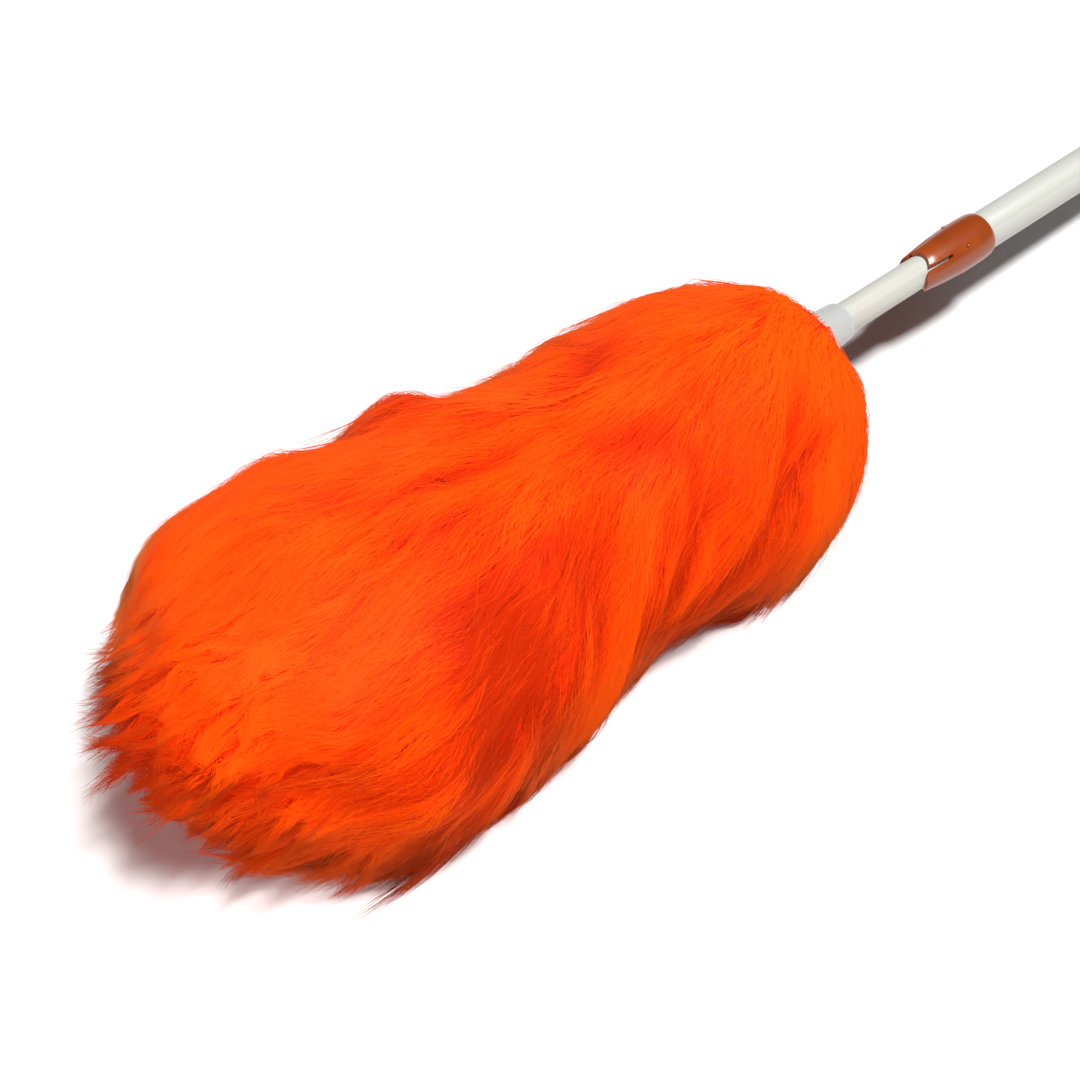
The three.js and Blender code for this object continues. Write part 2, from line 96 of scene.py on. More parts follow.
METRES = {"subtype": "DISTANCE", "unit": "LENGTH"}
FINE_METRES = {**METRES, "precision": 5}
ANGLE = {"subtype": "ANGLE", "unit": "ROTATION"}
SHARE = {"subtype": "FACTOR", "min": 0.0, "max": 1.0}
COLOUR = {"subtype": "COLOR", "size": 3, "min": 0.0, "max": 1.0}


class DusterFleece(PropertyGroup):
    fibres: IntProperty(
        name="Fibres", description="How many wool fibres are grown in all", default=74000, min=1000)
    length: FloatProperty(
        name="Length", description="Length of a fibre outside the undercoat", default=0.072, **METRES)
    thickness: FloatProperty(
        name="Thickness", description="Radius of a fibre at its root", default=0.00023, **FINE_METRES)
    droop: FloatProperty(
        name="Droop", description="How much the fibres fall to the floor instead of lying along the head",
        default=1.0)
    clump: FloatProperty(
        name="Clump", description="How far the fibres of a lock are drawn together at their tips",
        default=0.40, **SHARE)
    softness: FloatProperty(
        name="Softness", description="How far the fibres are shaded as one soft surface",
        default=0.85, **SHARE)
    undercoat_depth: FloatProperty(
        name="Undercoat depth", description="How far the dense undercoat lies under the tips",
        default=0.005, **METRES)
    # Painted glow: emission that stands in for light scattered inside the wool and lifts its shaded gaps
    painted_glow: FloatProperty(
        name="Glow", description="Light that the bright dye scatters inside the wool", default=0.5, min=0.0)
    # Painted shade: the deep red at the roots also paints the shade between the locks and over the undercoat
    root_and_shade_colour: FloatVectorProperty(
        name="Root colour", description="Wool colour deep between the locks",
        default=(0.52, 0.009, 0.0), **COLOUR)
    wool_colour: FloatVectorProperty(
        name="Wool colour", description="Main colour of the dyed wool", default=(0.80, 0.054, 0.0), **COLOUR)
    tip_colour: FloatVectorProperty(
        name="Tip colour", description="Colour of the fine ends of the fibres", default=(0.92, 0.108, 0.002),
        **COLOUR)


class DusterPole(PropertyGroup):
    ivory: FloatVectorProperty(
        name="Ivory", description="Colour of the two tubes", default=(0.56, 0.568, 0.515), **COLOUR)
    terracotta: FloatVectorProperty(
        name="Terracotta", description="Colour of the collar, the grip and the end cap",
        default=(0.27, 0.043, 0.003), **COLOUR)
    milky: FloatVectorProperty(
        name="Milky white", description="Colour of the head socket", default=(0.50, 0.52, 0.505), **COLOUR)
    edge_round: FloatProperty(
        name="Edge rounding", description="Radius of a moulded edge", default=0.00022, **FINE_METRES)


class DusterStage(PropertyGroup):
    azimuth: FloatProperty(
        name="Azimuth", description="Where the camera stands round the duster", default=math.radians(-42.55),
        **ANGLE)
    elevation: FloatProperty(
        name="Elevation", description="How high the camera stands over the floor", default=math.radians(49.9),
        **ANGLE)
    distance: FloatProperty(
        name="Distance", description="From the camera to the aim point", default=1.268, **METRES)
    lens: FloatProperty(
        name="Lens", description="Focal length on a 36 mm sensor", default=99.5, subtype="DISTANCE_CAMERA",
        unit="CAMERA")
    aim_station: FloatProperty(
        name="Aim", description="Station on the pole at the middle of the picture", default=-0.1862, **METRES)
    aim_drop: FloatProperty(
        name="Aim drop", description="How far the aim point lies under the pole in the picture",
        default=0.0123, **METRES)
    floor_colour: FloatVectorProperty(
        name="Floor", description="Colour of the floor", default=(0.80, 0.80, 0.80), **COLOUR)
    key_strength: FloatProperty(
        name="Key light", description="Strength of the light from above, in watts a square metre",
        default=4.3, min=0.0)
    key_softness: FloatProperty(
        name="Key softness", description="How wide the light from above looks from the floor",
        default=math.radians(9.5), **ANGLE)
    fill_power: FloatProperty(
        name="Fill light", description="Power of the lamp at the head's end", default=12.5, subtype="POWER",
        unit="POWER")
    sky: FloatProperty(
        name="Sky", description="Strength of the even light from all round", default=0.035)


# Node helpers


class Field:
    """A number in a node tree, for sums and products that read like those of plain numbers."""

    def __init__(self, socket):
        self.socket = socket

    def __add__(self, other):
        return calc("ADD", self, other)

    def __sub__(self, other):
        return calc("SUBTRACT", self, other)

    def __rsub__(self, other):
        return calc("SUBTRACT", other, self)

    def __mul__(self, other):
        return calc("MULTIPLY", self, other)

    def __truediv__(self, other):
        return calc("DIVIDE", self, other)

    def __pow__(self, other):
        return calc("POWER", self, other)


def plain(value):
    """The socket of a field, and any other value as it is."""
    return value.socket if isinstance(value, Field) else value


def tune(node, values):
    """Sets or links a node's inputs, by name or number."""
    for key, value in values.items():
        if isinstance(plain(value), NodeSocket):
            node.id_data.links.new(plain(value), node.inputs[key])
        else:
            node.inputs[key].default_value = value


def add_node(tree, kind, inputs=None, **settings):
    """A new node with its settings and inputs."""
    made = tree.nodes.new(kind)
    for key, value in settings.items():
        setattr(made, key, value)
    tune(made, inputs or {})
    return made


def follow(kind, inputs, **settings):
    """A new node in the tree of the sockets that feed it."""
    sockets = [plain(value) for value in inputs.values()]
    tree = next(socket.id_data for socket in sockets if isinstance(socket, NodeSocket))
    return add_node(tree, kind, inputs, **settings)


def calc(operation, *terms):
    return Field(follow("ShaderNodeMath", dict(enumerate(terms)), operation=operation).outputs[0])


def vector_sum(first, *others):
    for other in others:
        first = follow("ShaderNodeVectorMath", {0: first, 1: other}, operation="ADD").outputs[0]
    return first


def stretched(vector, factors):
    return follow("ShaderNodeVectorMath", {0: vector, 1: factors}, operation="MULTIPLY").outputs[0]


def normalized(vector):
    return follow("ShaderNodeVectorMath", {0: vector}, operation="NORMALIZE").outputs[0]


def scaled(vector, factor):
    return follow("ShaderNodeVectorMath", {0: vector, "Scale": factor}, operation="SCALE").outputs[0]


def combine(x, y, z=0.0):
    return follow("ShaderNodeCombineXYZ", {0: x, 1: y, 2: z}).outputs[0]


def separate(vector):
    return [Field(socket) for socket in follow("ShaderNodeSeparateXYZ", {0: vector}).outputs]


def mapped(value, low, high, first=0.0, last=1.0, soft=False):
    """A value's way from low to high, turned into one from first to last."""
    made = follow("ShaderNodeMapRange", {0: value, 1: low, 2: high, 3: first, 4: last},
                  interpolation_type="SMOOTHSTEP" if soft else "LINEAR")
    return Field(made.outputs[0])


def mixed_colour(factor, first, last):
    return follow("ShaderNodeMix", {"Factor": factor, 6: first, 7: last}, data_type="RGBA").outputs[2]


def mixed_vector(factor, first, last):
    return follow("ShaderNodeMix", {"Factor": factor, 4: first, 5: last}, data_type="VECTOR").outputs[1]


def noise_field(vector, scale, detail):
    made = follow("ShaderNodeTexNoise", {"Vector": vector, "Scale": scale, "Detail": detail})
    return Field(made.outputs[0])


def object_place(tree):
    return add_node(tree, "ShaderNodeTexCoord").outputs["Object"]


def colour_ramp(factor, stops):
    made = follow("ShaderNodeValToRGB", {0: factor})
    ramp = made.color_ramp
    while len(ramp.elements) < len(stops):
        ramp.elements.new(0.5)
    for element, (place, colour) in zip(ramp.elements, stops):
        element.position = place
        element.color = (*colour, 1.0)
    return made.outputs[0]


def bump(height, strength, distance):
    made = follow("ShaderNodeBump", {"Height": height, "Strength": strength, "Distance": distance})
    return made.outputs[0]


def new_material(name):
    """A material with its own Principled shader, and the tree and shader to go on with."""
    material = bpy.data.materials.new(name)
    material.use_nodes = True
    return material, material.node_tree, material.node_tree.nodes["Principled BSDF"]


# Shared surface effects


def handled_surface():
    """Node group: fine scuffs, soft blotches and pale worn edges of moulded plastic that has been in use."""
    name = "Handled surface"
    if name in bpy.data.node_groups:
        return bpy.data.node_groups[name]
    tree = bpy.data.node_groups.new(name, "ShaderNodeTree")
    for label in ("Colour", "Worn colour"):
        tree.interface.new_socket(label, in_out="INPUT", socket_type="NodeSocketColor")
    for label in ("Wear", "Blotch", "Roughness", "Scuff"):
        tree.interface.new_socket(label, in_out="INPUT", socket_type="NodeSocketFloat")
    tree.interface.new_socket("Colour", in_out="OUTPUT", socket_type="NodeSocketColor")
    for label in ("Roughness", "Height"):
        tree.interface.new_socket(label, in_out="OUTPUT", socket_type="NodeSocketFloat")
    given = tree.nodes.new("NodeGroupInput").outputs
    place = object_place(tree)
    pointiness = add_node(tree, "ShaderNodeNewGeometry").outputs["Pointiness"]
    blotch = noise_field(place, 55.0, 4.0)
    grain = noise_field(place, 900.0, 3.0)
    streaks = noise_field(stretched(place, (60.0, 900.0, 900.0)), 1.0, 2.0)
    edge = mapped(pointiness, 0.52, 0.60)
    toned = mixed_colour(blotch * given["Blotch"], given["Colour"], given["Worn colour"])
    scuff = (streaks - 0.5) * given["Scuff"]
    tune(tree.nodes.new("NodeGroupOutput"), {
        "Colour": mixed_colour(edge * blotch * given["Wear"], toned, given["Worn colour"]),
        "Roughness": scuff + given["Roughness"],
        "Height": grain + streaks * 0.5,
    })
    return tree


def moulded_plastic(name, colour, worn_colour, roughness, wear=0.5, blotch=0.15, scuff=0.12, relief=0.02):
    """Moulded plastic with its finish from the shared handled surface."""
    material, tree, shader = new_material(name)
    surface = add_node(tree, "ShaderNodeGroup", node_tree=handled_surface())
    tune(surface, {
        "Colour": (*colour, 1.0), "Worn colour": (*worn_colour, 1.0), "Wear": wear, "Blotch": blotch,
        "Roughness": roughness, "Scuff": scuff,
    })
    tune(shader, {
        "Base Color": surface.outputs["Colour"],
        "Roughness": surface.outputs["Roughness"],
        "Normal": bump(surface.outputs["Height"], relief, 0.0004),
    })
    return material, shader


# Finishes


def ivory_plastic(pole):
    """Glossy ivory tube plastic."""
    colour = Vector(pole.ivory)
    material, shader = moulded_plastic("ivory_plastic", colour, colour * 0.92, 0.4, wear=0.2, blotch=0.25,
                                       scuff=0.06)
    tune(shader, {"IOR": 1.5, "Coat Weight": 0.15})
    return material


def terracotta_plastic(pole, name="terracotta_plastic", roughness=0.32):
    """Satin brown plastic, paler along its worn edges."""
    colour = Vector(pole.terracotta)
    material, shader = moulded_plastic(name, colour, colour * 1.35 + Vector((0.02, 0.01, 0.004)), roughness,
                                       wear=0.9, blotch=0.22, relief=0.06)
    tune(shader, {"IOR": 1.5, "Coat Weight": 0.25, "Coat Roughness": 0.22})
    return material


def milky_plastic(pole):
    """Milky plastic that lets some light through."""
    colour = Vector(pole.milky)
    material, shader = moulded_plastic("milky_plastic", colour, colour * 0.92, 0.3, wear=0.2, blotch=0.3,
                                       relief=0.04)
    tune(shader, {"Subsurface Weight": 0.5, "Subsurface Radius": (1.0, 1.0, 1.0), "Subsurface Scale": 0.003})
    return material


def dark_plastic():
    """Dark grey nylon of the lock."""
    colour = Vector((0.024, 0.023, 0.022))
    return moulded_plastic("lock_nylon", colour, colour * 3, 0.48, wear=0.6, blotch=0.2, relief=0.08)[0]


def zinc_steel():
    """Zinc-plated steel of the pins, tacks, washer and screw, made once."""
    if "zinc_steel" in bpy.data.materials:
        return bpy.data.materials["zinc_steel"]
    colour = Vector((0.60, 0.61, 0.63))
    material, shader = moulded_plastic("zinc_steel", colour, colour * 0.8, 0.32, wear=0.3, blotch=0.4,
                                       relief=0.05)
    tune(shader, {"Metallic": 1.0})
    return material


def bare_wood():
    """Pale dowel wood with its grain along the pole."""
    material, tree, shader = new_material("bare_wood")
    grain = noise_field(stretched(object_place(tree), (14.0, 420.0, 420.0)), 1.0, 5.0)
    tune(shader, {
        "Base Color": colour_ramp(grain, [(0.3, (0.42, 0.25, 0.11)), (0.7, (0.66, 0.46, 0.25))]),
        "Normal": bump(grain, 0.2, 0.0003),
        "Roughness": 0.7,
    })
    return material


def pale_hide():
    """Tanned skin with a fine pore grain."""
    material, tree, shader = new_material("pale_hide")
    place = object_place(tree)
    pores = add_node(tree, "ShaderNodeTexVoronoi", {"Vector": place, "Scale": 900.0}).outputs["Distance"]
    tone = noise_field(place, 60.0, 4.0)
    tune(shader, {
        "Base Color": colour_ramp(tone, [(0.3, (0.58, 0.44, 0.26)), (0.7, (0.74, 0.62, 0.43))]),
        "Normal": bump(pores, 0.35, 0.0004),
        "Roughness": 0.8,
    })
    return material


FIBRE_MAP = "OFBake"


def wool_fibre(fleece):
    """Dyed wool, darker at the root and lighter to the tip, in a few shades, with painted shade at the roots
    and in the low tones and a painted glow in place of the light scattered inside it.
    """
    material, tree, shader = new_material("wool_fibre")
    tone, share, _ = separate(add_node(tree, "ShaderNodeUVMap", uv_map=FIBRE_MAP).outputs[0])
    root, wool, tip = Vector(fleece.root_and_shade_colour), Vector(fleece.wool_colour), Vector(fleece.tip_colour)
    # Painted shade: the root colour darkens fibres towards their roots, and the lowest tones darken the
    # partings and the undersides
    along = colour_ramp(share, [(0.0, root), (0.45, wool), (0.8, wool), (1.0, tip)])
    shades = colour_ramp(tone, [(0.02, root * 0.6), (0.16, root), (0.47, wool), (0.95, tip)])
    inside = colour_ramp(share, [(0.0, root), (0.5, root * 0.45), (1.0, root * 0.18)])
    tune(shader, {
        "Base Color": mixed_colour(0.72, along, shades),
        "Roughness": 0.62,
        "Specular IOR Level": 0.05,
        "Sheen Weight": 0.18,
        "Sheen Roughness": 0.45,
        "Sheen Tint": (1.0, 0.45, 0.12, 1.0),
        # Painted glow: emission that is strongest at the roots and dimmer in the low tones of the partings
        "Emission Color": scaled(inside, mapped(tone, 0.05, 0.4, 0.35, 1.0)),
        "Emission Strength": fleece.painted_glow,
    })
    return material


def wool_undercoat(fleece):
    """The dense felted wool under the locks, in the deep root colour that paints the shade there, with a
    painted glow.
    """
    material, tree, shader = new_material("wool_undercoat")
    streaks = noise_field(stretched(object_place(tree), (90.0, 260.0, 260.0)), 1.0, 6.0)
    root, wool = Vector(fleece.root_and_shade_colour), Vector(fleece.wool_colour)
    colour = colour_ramp(streaks, [(0.3, root), (0.7, root.lerp(wool, 0.4))])
    tune(shader, {
        "Base Color": colour,
        "Normal": bump(streaks, 0.8, 0.003),
        # Painted glow: the undercoat gives off light in its own colour
        "Emission Color": colour,
        "Emission Strength": fleece.painted_glow,
        "Roughness": 0.9,
        "Specular IOR Level": 0.1,
    })
    return material


# Pieces that keep the shape of a CAD node


def link_object(name, mesh, material):
    made = bpy.data.objects.new(name, mesh)
    bpy.context.scene.collection.objects.link(made)
    mesh.materials.clear()
    mesh.materials.append(material)
    return made


def bake_modifiers(piece):
    """Turns the piece and its modifiers into a plain mesh."""
    graph = bpy.context.evaluated_depsgraph_get()
    mesh = bpy.data.meshes.new_from_object(piece.evaluated_get(graph), depsgraph=graph)
    piece.modifiers.clear()
    old = piece.data
    piece.data = mesh
    bpy.data.meshes.remove(old)


def finished_copy(node, material, body, edge_round=0.0, sharp=math.radians(32)):
    """A smooth copy of a node with rounded edges, which stands for the node."""
    mesh = frame["nodes"][node].data.copy()
    shape = bmesh.new()
    shape.from_mesh(mesh)
    bmesh.ops.remove_doubles(shape, verts=shape.verts, dist=1e-6)
    bmesh.ops.dissolve_limit(shape, angle_limit=math.radians(0.5), verts=shape.verts, edges=shape.edges)
    shape.to_mesh(mesh)
    shape.free()
    mesh.shade_smooth()
    piece = link_object(node + "_finished", mesh, material)
    if edge_round:
        bevel = piece.modifiers.new("Rounded edges", "BEVEL")
        bevel.width = edge_round
        bevel.segments = 2
        bevel.limit_method = "ANGLE"
        bevel.angle_limit = sharp
        bevel.harden_normals = True
        bake_modifiers(piece)
    piece.data.set_sharp_from_angle(angle=sharp)
    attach(piece, body)
    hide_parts(node)
    return piece


# Form of the fleece, by u from its root to its tip and v round it, both from 0 to 1, with v = 0 below

FLEECE_MAP = "Fleece"
STEPS_ALONG = 72
STEPS_ROUND = 96
RAY_LENGTH = 0.4

# The rays that measure the CAD solid fan out round its root up to one u, and round its tip from another
FAN_ROOT = 0.14
FAN_TIP = 0.80
ROOT_INSET = 0.024
TIP_INSET = 0.062
ROOT_TILT = math.radians(58)
TIP_TILT = math.radians(90)

# Passes that soften the measured form, and those that leave only its broad shape
SOFT_PASSES = 4
BROAD_PASSES = 14

# Swellings and hollows of the settled wool: height, and the u where each one starts, is whole, fades and ends
UNDERSIDE_FORMS = ((0.009, 0.12, 0.24, 0.295, 0.32), (-0.005, 0.30, 0.335, 0.38, 0.50))
FAR_TOP_FORMS = (
    (-0.005, 0.0, 0.06, 0.16, 0.26), (-0.006, 0.20, 0.28, 0.36, 0.44), (0.004, 0.42, 0.47, 0.52, 0.58),
    (0.004, 0.70, 0.75, 0.79, 0.83), (-0.004, 0.82, 0.87, 0.90, 0.97),
)
LOW_TIP_FORMS = ((-0.007, 0.68, 0.82, 0.88, 0.98),)

# Deep partings: the lane of wool that each one follows, and the u where it starts and ends
NEAR_PARTINGS = (
    (0.46, 0.19, 0.37), (0.55, 0.33, 0.43), (0.65, 0.47, 0.55), (0.72, 0.57, 0.69), (0.59, 0.58, 0.68),
    (0.52, 0.49, 0.60),
)
FAR_PARTINGS = (
    (0.57, 0.14, 0.27), (0.47, 0.30, 0.43), (0.38, 0.40, 0.52), (0.29, 0.55, 0.66), (0.42, 0.60, 0.70),
)
LANE_FALL = 0.72
PARTING_WIDTH = 0.022
FAINT_WIDTH = 0.11
PARTING_DEPTH = 1.5

# Lumps of the wool, and how far its skin and its undercoat are drawn in at the ends
RUFFLE = 0.005
RUFFLE_SCALE = 21.0
ROOT_SINK = 0.009
SKIN_DEPTH = 0.001
SKIN_TIP_SINK = 0.009
UNDERCOAT_TIP_SINK = 0.013
FLOOR_GAP = 0.0004
POCKET_GAP = 0.0005
SKIN_VECTORS = ("along", "around", "outward")
SKIN_NUMBERS = ("girth", "reach", "relief", "furrow")


def reached(low, high, value):
    """Share of the way from low to high, held at 0 and 1."""
    return min(max((value - low) / (high - low), 0.0), 1.0)


def eased(low, high, value):
    share = reached(low, high, value)
    return share * share * (3 - 2 * share)


def between(low, rise, fall, high, value):
    """One from rise to fall, and nothing under low or over high."""
    return eased(low, rise, value) * (1 - eased(fall, high, value))


def outward(u, v):
    """Start and direction of the ray that meets the fleece at u and v."""
    turn = math.tau * v - math.pi / 2
    round_pole = -SIDE * math.cos(turn) + UPRIGHT * math.sin(turn)
    span = reached(FAN_ROOT * 0.6, FAN_TIP, u)
    station = WOOL_ROOT - ROOT_INSET + (WOOL_TIP + TIP_INSET - WOOL_ROOT + ROOT_INSET) * span
    tilt = ROOT_TILT * (1 - min(u / FAN_ROOT, 1.0)) - TIP_TILT * max((u - FAN_TIP) / (1 - FAN_TIP), 0.0)
    return pole_point(station), round_pole * math.cos(tilt) + ALONG * math.sin(tilt)


def fleece_grid():
    """Points of the fleece's outer form, measured on its CAD solid and softened."""
    solid = frame["nodes"]["wool_fleece"].data
    tree = BVHTree.FromPolygons(corners("wool_fleece"), [face.vertices for face in solid.polygons])
    rows = []
    for i in range(STEPS_ALONG + 1):
        row = []
        for j in range(STEPS_ROUND):
            start, heading = outward(i / STEPS_ALONG, j / STEPS_ROUND)
            row.append(tree.ray_cast(start + heading * RAY_LENGTH, -heading)[0])
        rows.append(row)
    return softened(rows, SOFT_PASSES)


def softened(rows, passes):
    """The same points, each drawn to the middle of its neighbours."""
    for _ in range(passes):
        drawn = []
        for i, row in enumerate(rows):
            before, after = rows[max(i - 1, 0)], rows[min(i + 1, STEPS_ALONG)]
            drawn.append([
                (row[j] * 2 + row[j - 1] + row[(j + 1) % STEPS_ROUND] + before[j] + after[j]) / 6
                for j in range(STEPS_ROUND)
            ])
        rows = drawn
    return rows


def swelling(forms, u):
    return sum(height * between(*stretch, u) for height, *stretch in forms)


def settled(u, v):
    """How the wool has settled, in metres over its plain form."""
    underside = math.sqrt(max(math.cos(math.tau * v), 0.0))
    far_top = between(0.52, 0.62, 0.80, 0.92, v)
    low_near = between(-0.03, 0.05, 0.23, 0.34, v)
    return (swelling(UNDERSIDE_FORMS, u) * underside + swelling(FAR_TOP_FORMS, u) * far_top
            + swelling(LOW_TIP_FORMS, u) * low_near)


def furrow(u, v):
    """Depth, from nothing to one, of the partings that run with the wool down both flanks."""
    lane = v + LANE_FALL * u * math.sin(math.tau * v)
    turn = math.tau * lane
    parting = noise.noise(Vector((math.cos(turn) * 1.5, math.sin(turn) * 1.5, u * 3.0)))
    broken = noise.noise(Vector((math.cos(turn) * 1.1 + 7.0, math.sin(turn) * 1.1, u * 7.0)))
    flank = 0.35 + 0.65 * abs(math.sin(math.tau * v))
    stretch = between(0.08, 0.2, 0.62, 0.78, u)
    depths = [max(1 - abs(parting) / FAINT_WIDTH, 0.0) * eased(-0.15, 0.2, broken) * flank * stretch]
    for middle, start, end in NEAR_PARTINGS if v < 0.5 else FAR_PARTINGS:
        beside = 1 - eased(0.0, PARTING_WIDTH, abs(lane - middle))
        depths.append(beside * between(start - 0.03, start + 0.02, end - 0.02, end + 0.03, u))
    return max(depths)


def fleece_skin(rows, depth, tip_sink):
    """Mesh of the fleece's form, sunk by a depth, with what the fibres need to know at each of its points."""
    broad = softened(rows, BROAD_PASSES)
    points, notes = [], {name: [] for name in SKIN_VECTORS + SKIN_NUMBERS}
    for i, row in enumerate(rows):
        u = i / STEPS_ALONG
        before, after = max(i - 1, 0), min(i + 1, STEPS_ALONG)
        ring = sum((row[j] - row[j - 1]).length for j in range(STEPS_ROUND))
        sink = ROOT_SINK * (1 - eased(0.0, FAN_ROOT, u))
        sink += tip_sink * eased(0.72, 0.88, u) * (1 - 0.5 * eased(0.93, 1.0, u))
        for j in range(STEPS_ROUND + 1):
            k = j % STEPS_ROUND
            tangent = rows[after][k] - rows[before][k]
            across = row[(k + 1) % STEPS_ROUND] - row[k - 1]
            normal = across.cross(tangent).normalized()
            parted = furrow(u, k / STEPS_ROUND)
            lump = RUFFLE * (noise.noise(row[k] * RUFFLE_SCALE) - PARTING_DEPTH * parted)
            place = row[k] + normal * (lump + settled(u, j / STEPS_ROUND) - depth - sink)
            place.z = max(place.z, FLOOR_GAP + 0.9 * depth)
            points.append(place)
            notes["along"].append(tangent.normalized())
            notes["around"].append(across.normalized())
            notes["outward"].append(normal)
            notes["girth"].append(max(ring, 0.06))
            notes["reach"].append(max(tangent.length * STEPS_ALONG / (after - before), 0.05))
            notes["relief"].append(lump + (row[k] - broad[i][k]).dot(normal))
            notes["furrow"].append(parted)
    wide = STEPS_ROUND + 1
    faces = [
        (i * wide + j + 1, (i + 1) * wide + j + 1, (i + 1) * wide + j, i * wide + j)
        for i in range(STEPS_ALONG) for j in range(STEPS_ROUND)
    ]
    mesh = bpy.data.meshes.new("fleece_skin")
    mesh.from_pydata(points, [], faces)
    sheet = mesh.uv_layers.new(name=FLEECE_MAP)
    for loop in mesh.loops:
        i, j = divmod(loop.vertex_index, wide)
        sheet.data[loop.index].uv = (i / STEPS_ALONG, j / STEPS_ROUND)
    for name in SKIN_VECTORS:
        layer = mesh.attributes.new(name, "FLOAT_VECTOR", "POINT")
        layer.data.foreach_set("vector", [part for value in notes[name] for part in value])
    for name in SKIN_NUMBERS:
        mesh.attributes.new(name, "FLOAT", "POINT").data.foreach_set("value", notes[name])
    return mesh


def undercoat_mesh(rows, depth):
    """The undercoat as one closed form, with a pocket along the pole for the core and its hide."""
    mesh = fleece_skin(rows, depth, UNDERCOAT_TIP_SINK)
    shape = bmesh.new()
    shape.from_mesh(mesh)
    bmesh.ops.remove_doubles(shape, verts=shape.verts, dist=1e-5)
    hide_low, hide_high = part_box("hide_strip")
    bore = (hide_high[1] - hide_low[1]) / 2 + POCKET_GAP
    pocket_end = min(station_of(point) for point in corners("tip_tack")) - POCKET_GAP
    middle = (WOOL_ROOT + WOOL_TIP) / 2
    open_edges = [edge for edge in shape.edges if edge.is_boundary]
    root_rim = [edge for edge in open_edges if station_of(edge.verts[0].co) > middle]
    tip_rim = [edge for edge in open_edges if station_of(edge.verts[0].co) < middle]
    pocket = [(bore, None), (bore, pocket_end), (0.0, pocket_end)]
    for rim, turns in ((tip_rim, [(0.0, None)]), (root_rim, pocket)):
        for radius, station in turns:
            grown_rim = bmesh.ops.extrude_edge_only(shape, edges=rim)["geom"]
            points = [part for part in grown_rim if isinstance(part, bmesh.types.BMVert)]
            rim = [part for part in grown_rim if isinstance(part, bmesh.types.BMEdge) and part.is_boundary]
            level = station
            if level is None:
                level = sum(station_of(point.co) for point in points) / len(points)
            for point in points:
                beside = point.co - pole_point(station_of(point.co))
                point.co = pole_point(level) + beside.normalized() * radius
            if radius == 0.0:
                bmesh.ops.remove_doubles(shape, verts=points, dist=1e-5)
    bmesh.ops.recalc_face_normals(shape, faces=shape.faces)
    if any(not edge.is_manifold for edge in shape.edges):
        raise RuntimeError("the undercoat isn't closed")
    shape.to_mesh(mesh)
    shape.free()
    for name in SKIN_VECTORS + SKIN_NUMBERS:
        mesh.attributes.remove(mesh.attributes[name])
    return mesh


# Fibres

COATS = 10
SHADED_COATS = 1
FIRST_SEED = 11
FIBRE_POINTS = 5
FIBRE_SIDES = 3
LOCK_DENSITY = 8000.0
SWATH_DENSITY = 1400.0
LOCK_SEED = 5
SWATH_SEED = 6
TIP_LIFT = 0.001
TIP_FAN = 0.9
FIBRE_FLOOR = 0.0006

# Turns in radians, rises in metres, and shares, for single fibres and for their locks and swaths
WANDER = 1.3
SWATH_TURN = 0.26
FIBRE_TURN = 0.05
SWATH_RISE = 0.0032
LOCK_RISE = 0.0014
STRAY_SHARE = 0.07
SWATH_PULL = 0.22
TIP_CLUMP = 0.3
TIER_CUT = 0.5
TIER_HANG = 0.35
WAVES = 1.2
SAG = 0.7
# Painted shade: how much darker the tone is in the partings
PARTING_PAINTED_SHADE = 0.9
FLANK_SHADE = 0.08
UPWARD = (0.0, 0.0, 0.15)

# Curves over u: turn down the flank in radians, share of the full length, how far fibres leave the skin,
# the short tier behind the waist, and where lock ends hang along the lower edge
FALL = (
    (0.0, 0.95), (0.1, 0.75), (0.22, 0.62), (0.42, 0.8), (0.55, 0.7), (0.66, 0.46), (0.76, 0.22),
    (0.88, 0.06), (1.0, 0.0),
)
LENGTHS = ((0.0, 0.8), (0.15, 1.0), (0.62, 1.0), (0.75, 0.64), (0.86, 0.42), (1.0, 0.36))
LEAVING = ((0.0, 0.0), (0.52, 0.0), (0.72, 0.2), (0.84, 0.45), (0.92, 0.64), (1.0, 0.7))
TIER = ((0.0, 0.0), (0.12, 0.0), (0.2, 1.0), (0.29, 1.0), (0.335, 0.0), (1.0, 0.0))
HANGING = ((0.0, 0.0), (0.12, 0.3), (0.3, 1.0), (0.7, 1.0), (1.0, 0.0))

# Attributes that only the growing of the fibres uses
FIBRE_NOTES = (
    "fibre", "to_lock", "to_swath", "tip_rise", "bearing", "fibre_length", "leaving", "onward", "phase",
    "waviness", "girth_here", "share", "flank", "facing", "tone", FLEECE_MAP, *SKIN_VECTORS, *SKIN_NUMBERS,
)


def named(tree, name, kind="FLOAT"):
    made = add_node(tree, "GeometryNodeInputNamedAttribute", {"Name": name}, data_type=kind)
    return Field(made.outputs[0])


def named_vector(tree, name):
    return named(tree, name, "FLOAT_VECTOR").socket


def position_of(tree):
    return add_node(tree, "GeometryNodeInputPosition").outputs[0]


def index_of(tree):
    return Field(add_node(tree, "GeometryNodeInputIndex").outputs[0])


def keep(geometry, values, kind="FLOAT", domain="POINT"):
    """The geometry with values kept on it by name."""
    for name, value in values.items():
        made = follow("GeometryNodeStoreNamedAttribute", {"Geometry": geometry, "Name": name}, data_type=kind,
                      domain=domain)
        number = next(n for n, socket in enumerate(made.inputs) if socket.name == "Value" and socket.enabled)
        tune(made, {number: value})
        geometry = made.outputs[0]
    return geometry


def random_value(low, high, identity, seed):
    limits = {2: low, 3: high, "ID": identity, "Seed": seed}
    return Field(follow("FunctionNodeRandomValue", limits, data_type="FLOAT").outputs[1])


